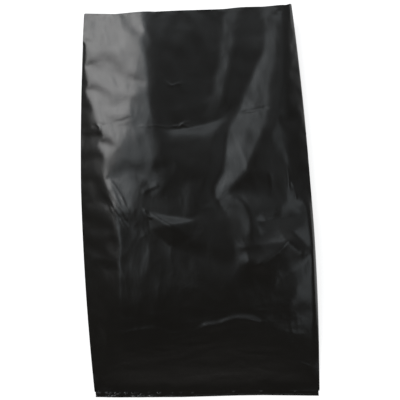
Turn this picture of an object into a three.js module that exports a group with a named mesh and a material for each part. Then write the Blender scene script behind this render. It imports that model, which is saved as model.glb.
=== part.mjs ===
// A black film bag of activated carbon granules, lying flat on its back, in millimetres, +Z up.
// The granules fill the lower part; the slack film above them runs up to the top cut edge in long folds.
// X runs across the bag, Y along it: the welded bottom end is at -Y, the top end at +Y.
import * as THREE from "three";
import { ParametricGeometry } from "three/addons/geometries/ParametricGeometry.js";
import { mergeGeometries, mergeVertices } from "three/addons/utils/BufferGeometryUtils.js";

// Driving dimensions
const BAG_LENGTH = 524; // between the two cut edges, along the middle
const END_WIDTH = 286; // across each cut end, where the film draws in
const SIDE_BOW = 9; // how far each long side stands out at mid length
const FILL_HEIGHT = 36; // top of the granules above the ground
const FILM = 0.2; // one wall of film
const TOP_DIP = 2.8; // how far the top cut edge dips at its middle
const BOTTOM_SKEW = 5.4; // how far the bottom cut runs out of square at each corner
const WELD_SKIRT = 8; // flat film between the bottom weld and the bottom cut
const CREASE_SOFT = 7; // half the width over which a crease is rounded
const SIDE_TUCK = 22; // how far in from a long side the underside touches the ground
const BOTTOM_TUCK = 16; // the same, in from the bottom cut
const TOP_TUCK = 92; // the same, in from the top cut, whose end arches clear of the ground

// How finely the film is cut into facets
const ACROSS_STEPS = 38;
const ALONG_STEPS = 62;
const UNDER_STEPS = 4;

const HALF_LENGTH = BAG_LENGTH / 2;
const HALF_WIDTH = END_WIDTH / 2 + SIDE_BOW;
const SKIRT_TOP = -1 + WELD_SKIRT / HALF_LENGTH;

// Stations along the bag, from the bottom cut at -1 to the top cut at +1
const STATIONS = [-1, SKIRT_TOP, -0.88, -0.72, -0.46, -0.2, 0, 0.16, 0.34, 0.53, 0.76, 1];

// Lines that the film follows from end to end. At each station: the place across, as a share of
// the half width, and the height, as a share of the fill height.
const FILM_LINES = {
  left_edge: {
    across: [-1, -1, -1, -1, -1, -1, -1, -1, -1, -1, -1, -1],
    height: [0.03, 0.04, 0.06, 0.12, 0.2, 0.23, 0.22, 0.2, 0.17, 0.14, 0.11, 0.08],
  },
  left_foot: {
    across: [-0.84, -0.83, -0.82, -0.81, -0.8, -0.78, -0.8, -0.84, -0.88, -0.89, -0.91, -0.93],
    height: [0.03, 0.06, 0.24, 0.44, 0.6, 0.68, 0.53, 0.39, 0.31, 0.28, 0.25, 0.12],
  },
  flank_break: {
    across: [-0.7, -0.7, -0.69, -0.68, -0.68, -0.7, -0.74, -0.65, -0.56, -0.47, -0.41, -0.41],
    height: [0.03, 0.07, 0.31, 0.58, 0.71, 0.74, 0.57, 0.6, 0.65, 0.72, 0.76, 0.62],
  },
  left_shoulder: {
    across: [-0.5, -0.5, -0.5, -0.52, -0.55, -0.58, -0.46, -0.33, -0.32, -0.32, -0.35, -0.38],
    height: [0.03, 0.07, 0.38, 0.69, 0.81, 0.79, 0.77, 0.81, 0.82, 0.82, 0.8, 0.64],
  },
  trough: {
    across: [-0.05, -0.05, -0.03, 0, 0, 0, 0, 0, 0, 0, 0.05, 0.06],
    height: [0.03, 0.08, 0.46, 0.86, 1, 1, 0.97, 0.92, 0.75, 0.72, 0.71, 0.57],
  },
  inner_valley: {
    across: [0.1, 0.1, 0.1, 0.1, 0.1, 0.1, 0.1, 0.13, 0.14, 0.21, 0.31, 0.4],
    height: [0.03, 0.08, 0.47, 0.86, 1, 1, 0.96, 0.91, 0.74, 0.68, 0.66, 0.55],
  },
  inner_crest: {
    across: [0.18, 0.18, 0.18, 0.18, 0.17, 0.16, 0.17, 0.21, 0.23, 0.29, 0.39, 0.48],
    height: [0.03, 0.08, 0.46, 0.85, 0.99, 1, 0.95, 0.88, 0.78, 0.73, 0.71, 0.6],
  },
  outer_valley: {
    across: [0.28, 0.28, 0.27, 0.26, 0.24, 0.2, 0.23, 0.3, 0.36, 0.48, 0.65, 0.7],
    height: [0.03, 0.07, 0.45, 0.83, 0.97, 0.99, 0.93, 0.82, 0.7, 0.66, 0.66, 0.57],
  },
  outer_crest: {
    across: [0.45, 0.45, 0.44, 0.42, 0.4, 0.34, 0.4, 0.52, 0.68, 0.77, 0.83, 0.86],
    height: [0.03, 0.07, 0.42, 0.78, 0.94, 0.98, 1, 0.96, 0.92, 0.86, 0.79, 0.67],
  },
  right_shoulder: {
    across: [0.8, 0.8, 0.8, 0.81, 0.82, 0.82, 0.82, 0.83, 0.85, 0.87, 0.89, 0.91],
    height: [0.03, 0.06, 0.26, 0.5, 0.67, 0.72, 0.74, 0.76, 0.77, 0.76, 0.7, 0.56],
  },
  right_edge: {
    across: [1, 1, 1, 1, 1, 1, 1, 1, 1, 1, 1, 1],
    height: [0.03, 0.04, 0.06, 0.12, 0.2, 0.23, 0.22, 0.22, 0.2, 0.17, 0.14, 0.1],
  },
};

// The lines as one cubic curve along the bag: across and height of every line at a station
const LINES = Object.values(FILM_LINES);
const lineTable = new Float32Array(
  STATIONS.flatMap((_, s) => LINES.flatMap((line) => [line.across[s], line.height[s]])),
);
const lineCurve = new THREE.CubicInterpolant(new Float32Array(STATIONS), lineTable, 2 * LINES.length);

// The long sides bow out; the top cut dips at its middle and the bottom cut is out of square
const halfWidthAt = (along) => END_WIDTH / 2 + SIDE_BOW * (1 - along * along);
const topCutAt = (across) => HALF_LENGTH - TOP_DIP * (1 - across * across);
const bottomCutAt = (across) => -HALF_LENGTH - BOTTOM_SKEW * across;

// Height of the straight runs between the lines at one place across
function straightHeight(lines, across) {
  let i = 2;
  while (i < lines.length - 2 && across > lines[i]) i += 2;
  const share = (across - lines[i - 2]) / Math.max(lines[i] - lines[i - 2], 1e-6);
  return THREE.MathUtils.lerp(lines[i - 1], lines[i + 1], THREE.MathUtils.clamp(share, 0, 1));
}

// Height of the upper film, with each crease rounded by a mean of the runs beside it
function filmHeight(across, along) {
  const lines = lineCurve.evaluate(along);
  const soft = Math.min(CREASE_SOFT / HALF_WIDTH, 1 - Math.abs(across));
  const near = [-1, -0.5, 0, 0.5, 1].map((step) => straightHeight(lines, across + step * soft));
  const mean = near.reduce((sum, height) => sum + height, 0) / near.length;
  return FILL_HEIGHT * mean + 2 * FILM;
}

// A point over the bag's outline: across and along both run from -1 to +1
function place(across, along, height, target) {
  const y = THREE.MathUtils.mapLinear(along, -1, 1, bottomCutAt(across), topCutAt(across));
  return target.set(across * halfWidthAt(along), y, height);
}

// The upper film, from cut to cut
function upperFilm() {
  const point = (u, v, target) => {
    const across = 2 * u - 1;
    const along = 2 * v - 1;
    place(across, along, filmHeight(across, along), target);
  };
  return new ParametricGeometry(point, ACROSS_STEPS, ALONG_STEPS);
}

// Once round the border of the film, in the steps of its own facets
const ROUND_STEPS = 2 * (ACROSS_STEPS + ALONG_STEPS);
function borderAt(share) {
  const step = Math.round(share * ROUND_STEPS) % ROUND_STEPS;
  const corner = ACROSS_STEPS + ALONG_STEPS;
  if (step < ALONG_STEPS) return [-1, -1 + (2 * step) / ALONG_STEPS];
  if (step < corner) return [-1 + (2 * (step - ALONG_STEPS)) / ACROSS_STEPS, 1];
  if (step < corner + ALONG_STEPS) return [1, 1 - (2 * (step - corner)) / ALONG_STEPS];
  return [1 - (2 * (step - corner - ALONG_STEPS)) / ACROSS_STEPS, -1];
}

// A point of the underside: from the border (depth 0) in to where the film meets the ground (depth 1)
function underPoint(share, depth, target) {
  const [across, along] = borderAt(share);
  const edge = filmHeight(across, along) - 2 * FILM;
  const side = 1 - (depth * SIDE_TUCK) / HALF_WIDTH;
  const top = 1 - (depth * TOP_TUCK) / HALF_LENGTH;
  const bottom = -1 + (depth * BOTTOM_TUCK) / HALF_LENGTH;
  const inner = THREE.MathUtils.mapLinear(along, -1, 1, bottom, top);
  return place(across * side, inner, edge * (1 - depth) ** 2, target);
}

// The underside's curl, as rings from the upper film's border to the ground
function underFilm() {
  const point = (u, v, target) => {
    const ring = Math.round(v * (UNDER_STEPS + 1));
    if (ring > 0) {
      underPoint(u, (ring - 1) / UNDER_STEPS, target);
      return;
    }
    const [across, along] = borderAt(u);
    place(across, along, filmHeight(across, along), target);
  };
  return new ParametricGeometry(point, ROUND_STEPS, UNDER_STEPS + 1);
}

// The flat face that the bag rests on
function groundFace() {
  const rim = Array.from({ length: ROUND_STEPS }, (_, step) => {
    const corner = underPoint(step / ROUND_STEPS, 1, new THREE.Vector3());
    return new THREE.Vector2(corner.x, corner.y);
  });
  const face = new THREE.ShapeGeometry(new THREE.Shape(rim));
  const order = Array.from(face.index.array).reverse();
  face.setIndex(order);
  return face;
}

// The whole bag as one closed skin
function bagSkin() {
  const skins = [upperFilm(), underFilm(), groundFace()].map((skin) => {
    skin.deleteAttribute("normal");
    skin.deleteAttribute("uv");
    return skin;
  });
  const skin = mergeVertices(mergeGeometries(skins), 1e-3);
  skin.computeVertexNormals();
  return skin;
}

const blackFilm = new THREE.MeshStandardMaterial({ color: 0x0c0c0d, roughness: 0.28, metalness: 0 });
const bag = new THREE.Mesh(bagSkin(), blackFilm);
bag.name = "carbon_bag";

const part = new THREE.Group();
part.add(bag);

// The part's origin is the middle of its box, on the ground
const box = new THREE.Box3().setFromObject(part);
const middle = box.getCenter(new THREE.Vector3());
bag.position.set(-middle.x, -middle.y, -box.min.z);

export default part;
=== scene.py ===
# %% [markdown]
# # A sealed film bag of activated carbon
# The real thing is a tube of black plastic film, welded shut at both ends and lying on a white table. It is
# filled with loose granules that have run down into the lower two thirds, so the lower part is plump and the
# upper part is a slack sheet with long soft folds. This script builds that film around the CAD solid.

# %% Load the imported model
import math

import bmesh
import bpy
import numpy as np
from mathutils import Euler, Matrix, Vector, noise


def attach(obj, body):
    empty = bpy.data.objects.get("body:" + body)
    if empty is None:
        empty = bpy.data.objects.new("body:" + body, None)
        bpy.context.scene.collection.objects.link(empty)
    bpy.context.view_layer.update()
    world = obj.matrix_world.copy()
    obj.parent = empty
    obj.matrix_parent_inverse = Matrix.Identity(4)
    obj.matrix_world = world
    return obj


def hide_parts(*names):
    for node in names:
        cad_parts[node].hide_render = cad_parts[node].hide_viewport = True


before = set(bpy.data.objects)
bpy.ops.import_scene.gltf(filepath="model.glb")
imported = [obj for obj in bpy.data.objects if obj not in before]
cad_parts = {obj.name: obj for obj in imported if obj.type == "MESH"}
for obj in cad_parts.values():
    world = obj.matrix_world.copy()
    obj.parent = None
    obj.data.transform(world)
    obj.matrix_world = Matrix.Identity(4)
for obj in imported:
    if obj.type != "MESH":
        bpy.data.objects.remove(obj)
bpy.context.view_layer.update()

# %% [markdown]
# ## The flat sheet
# The upper face of the bag is one piece of film. It could be sculpted from a box, but film only ever bends, so a
# flat grid that is lifted into place keeps the even mesh that the cloth solver needs later. The outline is the
# cut film: two nearly straight ends, sides that bow out a little over the filling, and a bottom cut that runs
# slightly askew. The top cut draws in where the film is raised, because the film doesn't stretch.

# %% Cut the sheet
MM = 0.001
BAG_LENGTH = 524.0
END_WIDTH = 286.0
SIDE_BOW = 9.0
BOTTOM_SKEW = 5.4
WELD_BAND = 6.0
LENGTH_SHIFT = 2.7
HALF_LENGTH = BAG_LENGTH / 2
CELLS_ACROSS = 104
CELLS_ALONG = 180

sheet = bmesh.new()
bmesh.ops.create_grid(sheet, x_segments=CELLS_ACROSS, y_segments=CELLS_ALONG, size=1.0)
across = np.array([v.co.x for v in sheet.verts])
along = np.array([v.co.y for v in sheet.verts])
half_width = END_WIDTH / 2 + SIDE_BOW * (1 - along**2)
film_x = across * half_width
film_y = along * HALF_LENGTH
print("film sheet", len(sheet.verts), "vertices")

# %% [markdown]
# ## The long folds
# Seen across the bag, the film is a row of nearly flat strips that meet in soft creases: a steep flank on the
# left, a broad top, two long folds that run down from the top right corner, and a rolled right side. Each line
# below is one of those creases. It says, at a row of stations down the bag, how far across it lies and how high
# it stands in millimetres. A smooth curve through the stations gives the crease, and straight film joins two
# neighbours. The mean of a few samples on either side then rounds the crease as real film would.

# %% The crease lines, from the top cut down to the bottom weld
STATIONS = [262, 199, 139, 100, 79, 52, 26, 0, -26, -52, -120, -189, -231, -254, -262]
FILM_LINES = {
    "left_edge": (
        [-152] * 15,
        [4, 3, 2.5, 2.5, 3, 3, 3.5, 4, 4, 4, 4, 3, 2, 1.2, 1],
    ),
    "edge_roll": (
        [-148, -145, -141, -138, -137, -134, -131, -127, -124, -120, -122, -122, -123, -123, -122],
        [4.3, 5.2, 7.4, 9.4, 9.6, 11.2, 13, 15.6, 18.6, 20.2, 20.2, 16.2, 8.2, 1.6, 1],
    ),
    "flank_foot": (
        [-143, -136, -131, -126, -124, -119, -115, -111, -106, -102, -104, -104, -100, -95, -95],
        [5, 8, 11, 14, 15.4, 18, 20.4, 23.4, 25.8, 28, 28.4, 23.5, 11.5, 1.8, 1],
    ),
    "flank_break": (
        [-66, -67, -77, -86, -91, -95, -106, -109, -98, -90, -90, -90, -88, -88, -88],
        [24.4, 26.7, 25.7, 25, 24.6, 24.6, 22.8, 23.9, 27.9, 28.8, 28.3, 23.8, 12, 1.8, 1],
    ),
    "shoulder": (
        [-56, -53, -50.5, -48.5, -48, -50, -56, -70, -84, -84, -80, -80, -80, -80, -80],
        [26.8, 28.8, 29.2, 29.9, 30.5, 30.9, 30, 29.6, 30, 29.2, 28.8, 24.4, 12.5, 1.9, 1],
    ),
    "trough": (
        [0] * 15,
        [24.4, 25.4, 25.9, 26.9, 29.3, 30.5, 30.9, 30.9, 31.1, 31.9, 33, 28, 14, 2, 1],
    ),
    "inner_valley": (
        [50, 39, 25, 16, 18, 20, 11, 5, 8, 12, 12, 12, 12, 12, 12],
        [21.5, 23, 23.7, 26.3, 28.8, 30.2, 30.9, 30.8, 31.1, 31.9, 33.2, 28.2, 14, 2, 1],
    ),
    "inner_crest": (
        [73, 61, 46, 35, 32, 27, 19, 10, 14, 25, 25, 25, 25, 25, 25],
        [24.2, 25.8, 25.9, 28, 29.2, 30.3, 30.8, 30.7, 31, 31.8, 33, 28, 14, 2, 1],
    ),
    "outer_valley": (
        [103, 96, 71, 55, 42, 38, 34, 22, 33, 42, 44, 40, 40, 40, 40],
        [21.5, 23.5, 24, 25.2, 25.8, 27.3, 28.4, 28.6, 30, 31.6, 33, 28, 14, 2, 1],
    ),
    "outer_crest": (
        [129, 125, 111, 105, 98, 85, 72, 52, 67, 70, 60, 60, 60, 60, 60],
        [26.1, 28.9, 31.5, 34.2, 35.5, 35.7, 35, 33.6, 36.2, 36.3, 32.8, 27, 13.5, 2, 1],
    ),
    "right_shoulder": (
        [134, 132, 129, 126, 124, 122, 121, 120, 119, 122, 121, 106, 112, 117, 117],
        [25.3, 26.8, 28, 28.5, 28.5, 28.5, 28, 28, 27.7, 27.8, 26.4, 21, 9.8, 1.7, 1],
    ),
    "right_roll": (
        [140, 141, 142, 142, 142, 142, 142, 142, 146, 149, 148, 142, 136, 136, 136],
        [21.8, 20.6, 20, 20, 20, 20, 20, 20, 20.2, 20.3, 18.6, 12, 6, 1.4, 1],
    ),
    "right_edge": (
        [152] * 15,
        [17, 14, 12.5, 12, 12, 12, 12.5, 13, 14, 15, 13, 7.5, 2.5, 1.2, 1],
    ),
}
CREASE_SOFT = 4.5


def along_line(values, at):
    """A smooth curve through the station values that never overshoots them."""
    places = np.array(STATIONS[::-1], float)
    heights = np.array(values[::-1], float)
    slope = np.diff(heights) / np.diff(places)
    tangent = np.concatenate([slope[:1], np.zeros(len(places) - 2), slope[-1:]])
    rising = slope[:-1] * slope[1:] > 0
    both = slope[:-1] * slope[1:]
    total = np.where(rising, slope[:-1] + slope[1:], 1.0)
    tangent[1:-1] = np.where(rising, 2 * both / total, 0.0)
    left = np.clip(np.searchsorted(places, at) - 1, 0, len(places) - 2)
    span = places[left + 1] - places[left]
    t = (at - places[left]) / span
    ease = t * t * (3 - 2 * t)
    leave = t * (1 - t) ** 2 * span * tangent[left]
    arrive = t * t * (1 - t) * span * tangent[left + 1]
    return heights[left] * (1 - ease) + heights[left + 1] * ease + leave - arrive


line_x = np.stack([along_line(x, film_y) for x, _ in FILM_LINES.values()], axis=1)
line_z = np.stack([along_line(z, film_y) for _, z in FILM_LINES.values()], axis=1)
line_x[:, 0] = -half_width
line_x[:, -1] = half_width


def straight_film(x):
    """Height of film pulled straight from each crease line to the next."""
    height = np.zeros(len(x))
    for i in range(line_x.shape[1] - 1):
        between = (x >= line_x[:, i]) & (x <= line_x[:, i + 1])
        gap = np.maximum(line_x[:, i + 1] - line_x[:, i], 1e-6)
        t = np.clip((x - line_x[:, i]) / gap, 0, 1)
        height = np.where(between, line_z[:, i] * (1 - t) + line_z[:, i + 1] * t, height)
    return height


SOFT_CRESTS = {"shoulder": 4.0, "outer_crest": 4.0}
CREST_REACH = 15
TIGHT_SHARE = 0.65
soft = np.full(len(film_x), CREASE_SOFT)
for name, extra in SOFT_CRESTS.items():
    from_crest = film_x - line_x[:, list(FILM_LINES).index(name)]
    soft += extra * np.exp(-((from_crest / CREST_REACH) ** 2)) * np.clip((film_y + 20) / 40, 0, 1)
tight = np.clip((-45 - film_y) / 20, 0, 1) * np.clip((-70 - film_x) / 20, 0, 1)
soft *= 1 - TIGHT_SHARE * tight
reach = np.minimum(soft, half_width - np.abs(film_x))
film_z = np.mean([straight_film(film_x + s * reach) for s in np.linspace(-1, 1, 7)], axis=0)
print("crease lines", len(FILM_LINES), "highest", round(float(film_z.max()), 1), "mm")

# %% [markdown]
# ## The cross folds
# Where the granules have settled, the film is pushed together lengthwise and buckles into a few cross folds and
# pinched corners. A fold is a ridge or a valley along a short path, steeper on one side than on the other. A
# tent is a small roof of flat facets, the shape that film takes where two folds meet. Both are added to the
# height before the cloth step, so the solver softens them together with everything else.

# %% Fold helpers
def wander(x, y, size, amount):
    """Points moved a little sideways, so that no fold runs ruler straight."""
    moved = np.array([noise.noise_vector((a / size, b / size, 3.7)) for a, b in zip(x, y)])
    return x + amount * moved[:, 0], y + amount * moved[:, 1]


def round_off(points):
    """A path with its corners cut twice, so that it bends smoothly."""
    for _ in range(2):
        early = 0.75 * points[:-1] + 0.25 * points[1:]
        late = 0.25 * points[:-1] + 0.75 * points[1:]
        inner = np.stack([early, late], axis=1).reshape(-1, 2)
        points = np.concatenate([points[:1], inner, points[-1:]])
    return points


def fold(place, path, height, left_reach, right_reach, sharp=1.4, ends=0.25):
    """A ridge, or a valley for a negative height, along a path. Left is seen walking along it."""
    x, y = place
    points = round_off(np.array(path, float))
    runs = np.diff(points, axis=0)
    lengths = np.hypot(runs[:, 0], runs[:, 1])
    starts = np.concatenate([[0], np.cumsum(lengths)])
    nearest = np.full(len(x), 1e9)
    share = np.zeros(len(x))
    side = np.zeros(len(x))
    for start, run, length, before in zip(points, runs, lengths, starts):
        ux, uy = run / length
        rx, ry = x - start[0], y - start[1]
        s = np.clip(rx * ux + ry * uy, 0, length)
        gap = np.hypot(rx - s * ux, ry - s * uy)
        closer = gap < nearest
        nearest = np.where(closer, gap, nearest)
        share = np.where(closer, (before + s) / starts[-1], share)
        side = np.where(closer, ux * ry - uy * rx, side)
    reach = np.where(side > 0, left_reach, right_reach)
    profile = np.clip(1 - nearest / reach, 0, 1) ** sharp
    fade = np.clip(np.minimum(share, 1 - share) / ends, 0, 1)
    return height * profile * fade * fade * (3 - 2 * fade)


def facets(x, y, corners, roof):
    """Height of flat facets of film between named corners."""
    lift = np.zeros(len(x))
    for names in roof:
        (ax, ay, az), (bx, by, bz), (cx, cy, cz) = (corners[name] for name in names)
        area = (bx - ax) * (cy - ay) - (cx - ax) * (by - ay)
        u = ((x - ax) * (cy - ay) - (cx - ax) * (y - ay)) / area
        v = ((bx - ax) * (y - ay) - (x - ax) * (by - ay)) / area
        inside = (u >= 0) & (v >= 0) & (u + v <= 1)
        lift = np.where(inside, np.maximum(lift, az + u * (bz - az) + v * (cz - az)), lift)
    return lift


def tent(place, rim, peaks, roof, soft=2.2):
    """A roof of facets: rim points lie on the sheet, peaks stand above it, and its creases are rounded."""
    x, y = place
    corners = {name: (px, py, 0.0) for name, (px, py) in rim.items()} | peaks
    around = [(0, 0), (soft, 0), (-soft, 0), (0, soft), (0, -soft)]
    return np.mean([facets(x + dx, y + dy, corners, roof) for dx, dy in around], axis=0)


# %% Put the cross folds in
place = wander(film_x, film_y, 26, 3.0)
CROSS_FOLDS = [
    # the fold that runs in from the right side, and the swell of granules under it
    ([(72, -45), (98, -40), (132, -33)], -2.2, 12, 22),
    ([(45, -78), (79, -76), (114, -71)], 0.9, 12, 14),
    # the lit corner under that fold
    ([(126, -58), (114, -71), (94, -89), (62, -113)], 6.0, 34, 26),
    # the crescent where the slack top meets the filling
    ([(-52, 88), (-12, 91), (14, 93), (30, 99), (46, 111), (62, 134)], -1.9, 26, 21),
    # the cross ridge over the lower part of the filling
    ([(-14, -181), (12, -177.5), (32, -172.5), (44, -170), (60, -173), (80, -177)], 2.1, 6, 15),
]
for path, height, left_reach, right_reach in CROSS_FOLDS:
    film_z = film_z + fold(place, path, height, left_reach, right_reach)
# a fin of film that faces the back, over the middle of the filling
film_z = film_z + tent(
    place,
    {
        "left": (-62, -26), "right": (0, -37), "lower_right": (-8, -64), "lower": (-34, -74),
        "lower_left": (-61, -50),
    },
    {"foot": (-33, -45, 4.4)},
    [
        ("left", "right", "foot"), ("right", "lower_right", "foot"), ("lower_right", "lower", "foot"),
        ("lower", "lower_left", "foot"), ("lower_left", "left", "foot"),
    ],
)
print("cross folds", len(CROSS_FOLDS), "and a fin of film")

# %% [markdown]
# ## Lay the sheet out in space
# The heights are known, so the grid takes its place in metres. The sheet ends at the weld line, a few
# millimetres above the bottom cut, because the weld is its own narrow band.

# %% Place the vertices
LEAN = 3.3


def bottom_sag(x):
    """The bottom cut isn't quite straight: it dips towards both corners."""
    return np.interp(x, [-143, -110, -30, 40, 70, 143], [1.0, 1.7, 1.7, 0.2, 0.0, 1.2])


draw_in = np.interp(
    film_x,
    [-143, -99, -71, -44, -16, 40, 95, 123, 135, 143],
    [0, 7.9, 9.4, 11.6, 11, 10.7, 9.8, 10.3, 10, 5.5],
)
top_cut = HALF_LENGTH - draw_in
weld_line = -HALF_LENGTH - BOTTOM_SKEW * across - bottom_sag(film_x) + WELD_BAND
sheet_y = weld_line + (along + 1) / 2 * (top_cut - weld_line) + LENGTH_SHIFT
film_mesh = bpy.data.meshes.new("film_bag")
sheet.to_mesh(film_mesh)
sheet.free()
lean = LEAN * np.clip((10 - film_y) / 272, 0, 1)
spot = np.stack([film_x + lean, sheet_y, film_z], axis=1) * MM
film_mesh.vertices.foreach_set("co", spot.ravel())
film_bag = bpy.data.objects.new("film_bag", film_mesh)
bpy.context.scene.collection.objects.link(film_bag)
print("sheet placed", [round(float(s), 4) for s in np.ptp(spot, axis=0)])

# %% [markdown]
# ## Let the film buckle
# Film that has been filled, squeezed and laid down is never smooth: it has a little more area than the shape it
# covers, and the surplus shows as dents with sharp little ends. Blender's cloth gives exactly that. The border
# is pinned, gravity is off, and every spring is told to be a fraction of a percent longer than the sheet, more in
# the zones where the real film is crumpled. A few frames let it buckle; the result is then written into the
# mesh and the solver is taken off again.

# %% Run the cloth
CRUMPLED = [
    # centre across and along, reach across and along, weight
    (-101, -8, 14, 30, 0.6),
    (-122, 95, 16, 16, 0.4),
    (-10, 86, 26, 12, 0.7),
    (52, -36, 24, 22, 0.12),
    (104, 0, 16, 34, 0.7),
    (-40, -38, 34, 20, 0.2),
    (20, -175, 60, 24, 0.5),
    (-60, -200, 60, 30, 0.5),
    (100, -200, 40, 40, 0.6),
    (60, 0, 110, 120, 0.16),
    (-10, -150, 130, 90, 0.12),
]
LEAST_SURPLUS = 0.0007
MOST_SURPLUS = 0.006
CLOTH_FRAMES = 25
MOST_MOVE = 4.0
START_DENT = 0.4

looseness = np.zeros(len(spot))
for cx, cy, rx, ry, weight in CRUMPLED:
    gap = ((film_x - cx) / rx) ** 2 + ((film_y - cy) / ry) ** 2
    looseness = np.maximum(looseness, weight * np.exp(-gap))
start_noise = np.array([noise.noise((x / 19, y / 23, 1.7)) for x, y in zip(film_x, film_y)])
border = (np.abs(np.abs(across) - 1) < 1e-6) | (np.abs(np.abs(along) - 1) < 1e-6)
start = spot.copy()
start[:, 2] += np.where(border, 0.0, START_DENT * MM * start_noise)
film_mesh.vertices.foreach_set("co", start.ravel())
film_mesh.update()


def buckle(piece):
    """Lets the surplus film buckle and returns where its vertices end."""
    held = piece.vertex_groups.new(name="held_border")
    held.add([int(i) for i in np.nonzero(border)[0]], 1.0, "REPLACE")
    loose = piece.vertex_groups.new(name="loose_film")
    for i, weight in enumerate(looseness):
        loose.add([i], float(weight), "REPLACE")
    cloth = piece.modifiers.new("film_cloth", "CLOTH")
    film = cloth.settings
    film.quality = 6
    film.mass = 0.05
    film.air_damping = 2.0
    film.tension_stiffness = film.compression_stiffness = 40
    film.shear_stiffness = 20
    film.bending_stiffness = 5
    film.tension_damping = film.compression_damping = film.shear_damping = 5
    film.bending_damping = 0.5
    film.vertex_group_mass = held.name
    film.vertex_group_shrink = loose.name
    film.shrink_min = -LEAST_SURPLUS
    film.shrink_max = -MOST_SURPLUS
    film.effector_weights.gravity = 0.0
    cloth.collision_settings.use_collision = False
    cloth.point_cache.frame_start = 1
    cloth.point_cache.frame_end = CLOTH_FRAMES + 2
    scene = bpy.context.scene
    for step in range(1, CLOTH_FRAMES + 1):
        scene.frame_set(step)
    settled = piece.evaluated_get(bpy.context.evaluated_depsgraph_get())
    ends = np.empty(len(piece.data.vertices) * 3)
    settled.data.vertices.foreach_get("co", ends)
    piece.modifiers.remove(cloth)
    piece.vertex_groups.clear()
    scene.frame_set(1)
    return ends.reshape(-1, 3)


buckled = buckle(film_bag)
moved = np.clip(buckled - start, -MOST_MOVE * MM, MOST_MOVE * MM)
film_mesh.vertices.foreach_set("co", (start + moved).ravel())
film_mesh.update()
print("cloth moved", round(float(np.abs(moved).max()) / MM, 2), "mm at most")

# %% [markdown]
# ## Fine creases
# The finest lines on the film are creases a millimetre or two wide, too fine for the cloth grid. The sheet is
# subdivided once, smoothly, and the creases are drawn on the finer mesh: a bundle of them where the left flank
# runs out, a knot in the middle, short scratches of light over the lower part. A ridged noise, stretched along
# the bag, gives the faint crumple that film has everywhere. A second one, stretched across the bag, gives the
# settled cross creases near the bottom, and a plain noise gives the lines along which the left flank is drawn.

# %% Subdivide and crease
finer = film_bag.modifiers.new("finer", "SUBSURF")
finer.levels = finer.render_levels = 1
smooth_sheet = film_bag.evaluated_get(bpy.context.evaluated_depsgraph_get())
fine_mesh = bpy.data.meshes.new_from_object(smooth_sheet)
film_bag.modifiers.remove(finer)
film_bag.data = fine_mesh
bpy.data.meshes.remove(film_mesh)
fine_mesh.name = "film_bag"
spot = np.empty(len(fine_mesh.vertices) * 3)
fine_mesh.vertices.foreach_get("co", spot)
spot = spot.reshape(-1, 3)
fine_x = spot[:, 0] / MM
fine_y = spot[:, 1] / MM - LENGTH_SHIFT
fine_place = wander(fine_x, fine_y, 11, 1.6)
FINE_CREASES = [
    # knot and cross crease at the foot of the dark top
    ([(-78, 90), (-44, 88), (-28, 86), (-12, 90)], 0.26, 2.0, 2.0),
    ([(-30, 86), (-14, 88), (-2, 95)], 0.4, 3, 4),
    # dents and a broken cross band on the left flank
    ([(-131, 100), (-123, 94), (-127, 84)], 0.5, 3.5, 3.5),
    ([(-138, 97), (-128, 98), (-118, 95), (-110, 97)], -0.2, 5, 5),
    ([(-106, 97), (-96, 100), (-84, 101), (-78, 104)], -0.12, 5, 5),
    ([(-20, 84), (-13, 89), (-9, 96)], 0.5, 2.2, 2.2),
    ([(-18, 93), (-12, 88), (-3, 86)], 0.4, 2.2, 2.2),
    # crinkles down the right side
    ([(118, 30), (123, 14), (121, -6)], 0.5, 4, 3),
    ([(126, 8), (131, -6), (129, -22)], 0.6, 3, 3),
    ([(96, 22), (101, 4), (97, -16)], 0.5, 6, 5),
    # small check mark in the dark top
    ([(-33, 151), (-26, 142), (-8, 147)], 0.35, 3, 3),
    # cross line in the outer fold
    ([(63, 102), (85, 103), (105, 107)], -0.5, 4, 3),
    # hook beside the pinched corner
    ([(-68, -20), (-64, -30), (-56, -37)], 0.6, 3, 3),
    ([(-71, -2), (-57, 5), (-44, 9)], 0.4, 7, 5),
    # faint lines near the bottom
    ([(-65, -203), (-45, -205), (-27, -203)], 0.4, 3, 5),
    ([(107, -219), (122, -226), (139, -233)], 0.4, 3, 5),
]
BUNDLE = [
    # top, middle and foot of each crease where the flank runs out, and its height
    ([(-127, 16), (-112, -14), (-92, -52)], 0.24),
    ([(-121, 9), (-103, -22), (-87, -55)], 0.33),
    ([(-108, 4), (-98, -17), (-86, -42)], 0.23),
    ([(-114, 24), (-101, 8), (-93, -12)], 0.22),
    ([(-97, -2), (-91, -18), (-86, -30)], 0.28),
]
CRUMPLE_HEIGHT = 0.14
LOWER_CRUMPLE = 0.2
SETTLED_HEIGHT = 0.9
DRAWN_HEIGHT = 0.18
for path, height in BUNDLE:
    FINE_CREASES.append((path, height, 2.6, 2.2))
lift = np.zeros(len(spot))
for path, height, left_reach, right_reach in FINE_CREASES:
    lift += fold(fine_place, path, height, left_reach, right_reach)
crumple = np.empty(len(spot))
for i, (x, y) in enumerate(zip(fine_x, fine_y)):
    here = Vector((x * 0.026, y * 0.017, 0.3))
    here += 0.5 * noise.noise_vector(here * 0.9)
    crumple[i] = noise.ridged_multi_fractal(here, 1.0, 2.1, 4, 1.0, 2.0)
crumple -= crumple.mean()
from_edge = np.clip((152 - np.abs(fine_x)) / 20, 0, 1) * np.clip((262 - np.abs(fine_y)) / 20, 0, 1)
lower_part = np.clip((40 - fine_y) / 120, 0, 1)
lift += (CRUMPLE_HEIGHT + LOWER_CRUMPLE * lower_part) * crumple * from_edge
settled = np.empty(len(spot))
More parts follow.
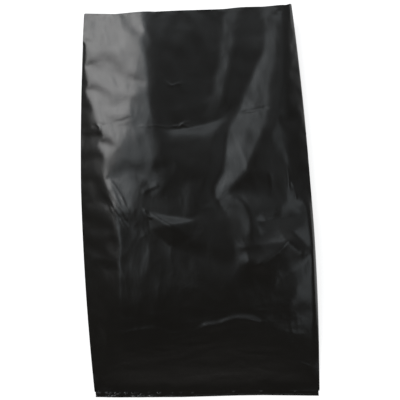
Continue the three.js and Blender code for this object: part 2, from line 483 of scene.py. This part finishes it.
for i, (x, y) in enumerate(zip(fine_x, fine_y)):
    here = Vector((x * 0.011, y * 0.04, 7.9))
    here += 0.35 * noise.noise_vector(here * 1.3)
    settled[i] = noise.ridged_multi_fractal(here, 1.0, 2.1, 3, 1.0, 2.0)
settled -= settled.mean()
inland = np.clip((135 - fine_x) / 45, 0, 1)
near_bottom = np.clip((-140 - fine_y) / 50, 0, 1)
lift += SETTLED_HEIGHT * settled * near_bottom * inland * from_edge
drawn = np.array(
    [noise.noise(((x + 0.16 * y) / 7.5, y / 90, 6.4)) for x, y in zip(fine_x, fine_y)]
)
on_flank = np.exp(-(((fine_x + 95) / 42) ** 2)) * np.clip((fine_y + 10) / 60, 0, 1)
lift += DRAWN_HEIGHT * drawn * on_flank * from_edge
spot[:, 2] += lift * MM
fine_mesh.vertices.foreach_set("co", spot.ravel())
fine_mesh.update()
print("fine creases", len(FINE_CREASES), "on", len(spot), "vertices")

# %% [markdown]
# ## Weld, rim and underside
# The bottom weld is a narrow flat band beyond the filling, pressed by a hot bar, so the film on either side of
# the pressed line puckers. Extruding the bottom border a few times makes it row by row. After that the whole
# rim is extruded down by the thickness of the two films, then inwards in rings that sink to the table. The last
# ring is filled, and that flat face is what the bag rests on.

# %% Weld the bottom
WELD_ROWS = [
    # out from the weld line, height, how strongly the film puckers
    (1.2, 1.35, 1.0),
    (2.4, 0.75, 0.35),
    (3.8, 0.7, 0.3),
    (4.8, 1.1, 0.8),
    (6.0, 0.9, 0.5),
]
PUCKER = 0.5
LEAST_WELD = 0.45
LEFT_PUCKER = 6.5
film = bmesh.new()
film.from_mesh(fine_mesh)
film.edges.ensure_lookup_table()


def weld_at(x):
    """The weld line runs askew, as the bottom cut does."""
    flat_x = x - LEAN
    skew = BOTTOM_SKEW * flat_x / (END_WIDTH / 2) + bottom_sag(flat_x)
    return (-HALF_LENGTH - skew + WELD_BAND + LENGTH_SHIFT) * MM


rim = [e for e in film.edges if e.is_boundary]
bottom = [e for e in rim if all(v.co.y < weld_at(v.co.x / MM) + 0.4 * MM for v in e.verts)]
for out, height, strength in WELD_ROWS:
    made = bmesh.ops.extrude_edge_only(film, edges=bottom)["geom"]
    for v in (g for g in made if isinstance(g, bmesh.types.BMVert)):
        x = v.co.x / MM
        ripple = noise.noise((x / 5.5, out / 4, 5.1)) + 0.6 * noise.noise((x / 2.6, out / 3, 8.3))
        near_left = 1.0 + LEFT_PUCKER * math.exp(-(((x + 100) / 40) ** 2))
        v.co.y = weld_at(x) - out * MM
        v.co.z = max(height + PUCKER * strength * near_left * ripple, LEAST_WELD) * MM
    bottom = [g for g in made if isinstance(g, bmesh.types.BMEdge) and g.is_boundary]
    bottom = [e for e in bottom if abs(e.verts[0].co.x - e.verts[1].co.x) > 0.2 * MM]
print("weld rows", len(WELD_ROWS))

# %% Close the underside
FILM_PAIR = 0.4
SIDE_TUCK = 22.0
BOTTOM_TUCK = 16.0
TOP_TUCK = 92.0
RINGS = [0.0, 0.12, 0.3, 0.55, 0.8, 1.0]
top_limit = max(v.co.y for v in film.verts)
low_limit = min(v.co.y for v in film.verts)
inner_top = top_limit - TOP_TUCK * MM
inner_low = low_limit + BOTTOM_TUCK * MM
side_keep = 1 - SIDE_TUCK / (END_WIDTH / 2 + SIDE_BOW)
rim = [e for e in film.edges if e.is_boundary]
rim_spot = {v: v.co.copy() for e in rim for v in e.verts}
for depth in RINGS:
    made = bmesh.ops.extrude_edge_only(film, edges=rim)["geom"]
    rim = [g for g in made if isinstance(g, bmesh.types.BMEdge) and g.is_boundary]
    next_spot = {}
    for v in (g for g in made if isinstance(g, bmesh.types.BMVert)):
        source = min(
            (e.other_vert(v) for e in v.link_edges if e.other_vert(v) in rim_spot),
            key=lambda other: (other.co - v.co).length,
        )
        edge_spot = rim_spot[source]
        next_spot[v] = edge_spot
        down = (edge_spot.y - low_limit) / (top_limit - low_limit)
        inner = Vector((edge_spot.x * side_keep, inner_low + down * (inner_top - inner_low), 0))
        v.co = edge_spot.lerp(inner, depth)
        v.co.z = max(edge_spot.z - FILM_PAIR * MM, 0) * (1 - depth) ** 2
    rim_spot = next_spot
bmesh.ops.contextual_create(film, geom=rim)
bmesh.ops.recalc_face_normals(film, faces=film.faces)
for face in film.faces:
    face.smooth = True
film.to_mesh(fine_mesh)
open_edges = sum(1 for e in film.edges if not e.is_manifold)
film.free()
fine_mesh.set_sharp_from_angle(angle=math.radians(55))
print("bag faces", len(fine_mesh.polygons), "open edges", open_edges)

# %% [markdown]
# ## The film
# Black polythene is a nearly black plastic with a clear, slightly uneven gloss. Almost all that is seen of it is
# the reflection of the room, so the finish is in the roughness and in the fine bump: a soft orange peel from
# the blowing of the film, and faint draw lines along the bag. The colour changes a little with the film's
# thickness and with dust from the granules.

# %% Film material
def new_node(tree, kind, **settings):
    """Adds a shader node and sets its plain inputs by name."""
    node = tree.nodes.new(kind)
    for name, value in settings.items():
        node.inputs[name.replace("_", " ")].default_value = value
    return node


black_film = bpy.data.materials.new("black_film")
black_film.use_nodes = True
tree = black_film.node_tree
shader = tree.nodes["Principled BSDF"]
shader.inputs["IOR"].default_value = 1.5
coords = tree.nodes.new("ShaderNodeTexCoord")

cloud = new_node(tree, "ShaderNodeTexNoise", Scale=14.0, Detail=4.0, Roughness=0.6)
tree.links.new(coords.outputs["Object"], cloud.inputs["Vector"])
tint = tree.nodes.new("ShaderNodeValToRGB")
tint.color_ramp.elements[0].position = 0.3
tint.color_ramp.elements[0].color = (0.0062, 0.0058, 0.0047, 1)
tint.color_ramp.elements[1].position = 0.75
tint.color_ramp.elements[1].color = (0.0100, 0.0096, 0.0084, 1)
tree.links.new(cloud.outputs["Fac"], tint.inputs["Fac"])
tree.links.new(tint.outputs["Color"], shader.inputs["Base Color"])

gloss = new_node(tree, "ShaderNodeTexNoise", Scale=38.0, Detail=5.0, Roughness=0.65)
tree.links.new(coords.outputs["Object"], gloss.inputs["Vector"])
gloss_range = new_node(tree, "ShaderNodeMapRange", To_Min=0.19, To_Max=0.31)
tree.links.new(gloss.outputs["Fac"], gloss_range.inputs["Value"])
tree.links.new(gloss_range.outputs["Result"], shader.inputs["Roughness"])

stretch = new_node(tree, "ShaderNodeMapping", Scale=(1.0, 0.28, 1.0), Rotation=(0.0, 0.0, 0.25))
tree.links.new(coords.outputs["Object"], stretch.inputs["Vector"])
draw_lines = new_node(tree, "ShaderNodeTexNoise", Scale=160.0, Detail=3.0, Roughness=0.55)
tree.links.new(stretch.outputs["Vector"], draw_lines.inputs["Vector"])
draw_bump = new_node(tree, "ShaderNodeBump", Strength=0.3, Distance=0.00015)
tree.links.new(draw_lines.outputs["Fac"], draw_bump.inputs["Height"])
peel = new_node(tree, "ShaderNodeTexNoise", Scale=900.0, Detail=2.0, Roughness=0.5)
tree.links.new(coords.outputs["Object"], peel.inputs["Vector"])
peel_bump = new_node(tree, "ShaderNodeBump", Strength=0.25, Distance=0.00006)
tree.links.new(peel.outputs["Fac"], peel_bump.inputs["Height"])
tree.links.new(draw_bump.outputs["Normal"], peel_bump.inputs["Normal"])
tree.links.new(peel_bump.outputs["Normal"], shader.inputs["Normal"])
fine_mesh.materials.clear()
fine_mesh.materials.append(black_film)
print("film material nodes", len(tree.nodes))

# %% [markdown]
# ## The table
# The bag lies on plain white paper. Its diffuse part catches the bag's soft shadow, and a share of plain white
# for the camera and for reflections takes the open paper up to white without any more light on the bag.

# %% Floor
FLOOR_HALF = 40.0
PAPER_GLOW = 0.75
table = bmesh.new()
bmesh.ops.create_grid(table, x_segments=2, y_segments=2, size=FLOOR_HALF)
floor_mesh = bpy.data.meshes.new("table_top")
table.to_mesh(floor_mesh)
table.free()
floor = bpy.data.objects.new("table_top", floor_mesh)
bpy.context.scene.collection.objects.link(floor)
paper = bpy.data.materials.new("white_paper")
paper.use_nodes = True
tree = paper.node_tree
tree.nodes.clear()
output = tree.nodes.new("ShaderNodeOutputMaterial")
diffuse = new_node(tree, "ShaderNodeBsdfDiffuse", Color=(0.85, 0.85, 0.85, 1))
glow = new_node(tree, "ShaderNodeEmission", Color=(1, 1, 1, 1))
light_path = tree.nodes.new("ShaderNodeLightPath")
seen = tree.nodes.new("ShaderNodeMath")
seen.operation = "MAXIMUM"
tree.links.new(light_path.outputs["Is Camera Ray"], seen.inputs[0])
tree.links.new(light_path.outputs["Is Glossy Ray"], seen.inputs[1])
through = tree.nodes.new("ShaderNodeMath")
through.operation = "MAXIMUM"
tree.links.new(seen.outputs["Value"], through.inputs[0])
tree.links.new(light_path.outputs["Is Transmission Ray"], through.inputs[1])
share = tree.nodes.new("ShaderNodeMath")
share.operation = "MULTIPLY"
share.inputs[1].default_value = PAPER_GLOW
tree.links.new(through.outputs["Value"], share.inputs[0])
tree.links.new(share.outputs["Value"], glow.inputs["Strength"])
both = tree.nodes.new("ShaderNodeAddShader")
tree.links.new(diffuse.outputs["BSDF"], both.inputs[0])
tree.links.new(glow.outputs["Emission"], both.inputs[1])
tree.links.new(both.outputs["Shader"], output.inputs["Surface"])
floor_mesh.materials.append(paper)
print("table", 2 * FLOOR_HALF, "m square")

# %% [markdown]
# ## Light
# Black film shows its lamps as bright shapes, so each panel is placed by what should mirror it: the big panel at
# the upper left shows in the steep left flank, a dimmer one beside it shows in the softer slope next to that,
# and one at the right shows in the rolled right side. A low one at the left and a soft one at the right lift the
# slopes between them, and the panel at the back shows in the crescent and in the fin.

# %% Panels and sky
def panel(name, toward, aim, distance, width, height, radiance, colour=(1, 1, 1)):
    """A rectangular lamp, its width along the bag's width and its height along the bag's length."""
    lamp = bpy.data.lights.new(name, "AREA")
    lamp.shape = "RECTANGLE"
    lamp.size = width
    lamp.size_y = height
    lamp.energy = radiance * math.pi * width * height
    lamp.color = colour
    piece = bpy.data.objects.new(name, lamp)
    bpy.context.scene.collection.objects.link(piece)
    back = Vector(toward).normalized()
    wide = (Vector((1, 0, 0)) - back * back.x).normalized()
    high = back.cross(wide)
    turn = Matrix((wide, high, back)).transposed().to_4x4()
    piece.matrix_world = Matrix.Translation(Vector(aim) + distance * back) @ turn
    return piece


LEFT_AIM = (-0.09, 0.13, 0.02)
RIGHT_AIM = (0.12, -0.08, 0.02)
COOL = (0.9, 0.99, 1.05)
panel("left_panel", (-0.58, 0.475, 0.66), LEFT_AIM, 3.0, 1.15, 1.3, 5.05)
panel("left_core", (-0.54, 0.48, 0.69), LEFT_AIM, 2.9, 0.35, 1.1, 2.6)
panel("soft_left_panel", (-0.345, 0.37, 0.863), LEFT_AIM, 3.0, 0.62, 1.5, 1.6, COOL)
panel("low_left_panel", (-0.345, 0.07, 0.936), LEFT_AIM, 3.0, 0.62, 0.4, 0.75, COOL)
panel("right_panel", (0.62, 0.03, 0.78), RIGHT_AIM, 3.0, 0.8, 1.3, 1.08, COOL)
panel("soft_right_panel", (0.33, 0.25, 0.91), (0.1, 0, 0), 3.0, 1.2, 1.7, 0.14, COOL)
panel("back_panel", (0.0, 0.655, 0.755), (0, 0, 0), 3.0, 1.6, 0.66, 0.95, COOL)

sky = bpy.data.worlds.new("studio")
bpy.context.scene.world = sky
sky.use_nodes = True
tree = sky.node_tree
coords = tree.nodes.new("ShaderNodeTexCoord")
split = tree.nodes.new("ShaderNodeSeparateXYZ")
tree.links.new(coords.outputs["Generated"], split.inputs["Vector"])
ramp = tree.nodes.new("ShaderNodeValToRGB")
toward_back = new_node(tree, "ShaderNodeMapRange", From_Min=-1.0, From_Max=1.0)
tree.links.new(split.outputs["Y"], toward_back.inputs["Value"])
SKY = [
    # place from the front to the back, light level, warmth
    (0.0, 0.26, 1.05),
    (0.2, 0.165, 1.06),
    (0.35, 0.11, 1.08),
    (0.5, 0.1, 1.08),
    (0.57, 0.112, 1.05),
    (0.65, 0.195, 0.98),
    (0.78, 0.34, 0.97),
    (1.0, 0.5, 0.97),
]
while len(ramp.color_ramp.elements) < len(SKY):
    ramp.color_ramp.elements.new(0.5)
for stop, (position, level, warmth) in zip(ramp.color_ramp.elements, SKY):
    stop.position = position
    stop.color = (level * warmth, level, level / warmth, 1)
tree.links.new(toward_back.outputs["Result"], ramp.inputs["Fac"])
tree.links.new(ramp.outputs["Color"], tree.nodes["Background"].inputs["Color"])

# %% [markdown]
# ## Camera
# The photograph looks almost straight down from a little in front of the bag.

# %% Camera
camera = bpy.data.cameras.new("camera")
camera.lens = 80
camera.sensor_width = 36
camera.sensor_fit = "HORIZONTAL"
eye = bpy.data.objects.new("camera", camera)
bpy.context.scene.collection.objects.link(eye)
eye.location = (0.01345, -0.24095, 1.1576)
eye.rotation_euler = Euler([math.radians(a) for a in (11.473, 0.906, -2.556)], "XYZ")
bpy.context.scene.camera = eye
bpy.context.scene.view_settings.view_transform = "Standard"
print("camera height", round(eye.location.z, 3), "m")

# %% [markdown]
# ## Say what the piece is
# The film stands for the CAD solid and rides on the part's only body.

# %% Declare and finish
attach(film_bag, "root")
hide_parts("carbon_bag")
bpy.context.view_layer.update()
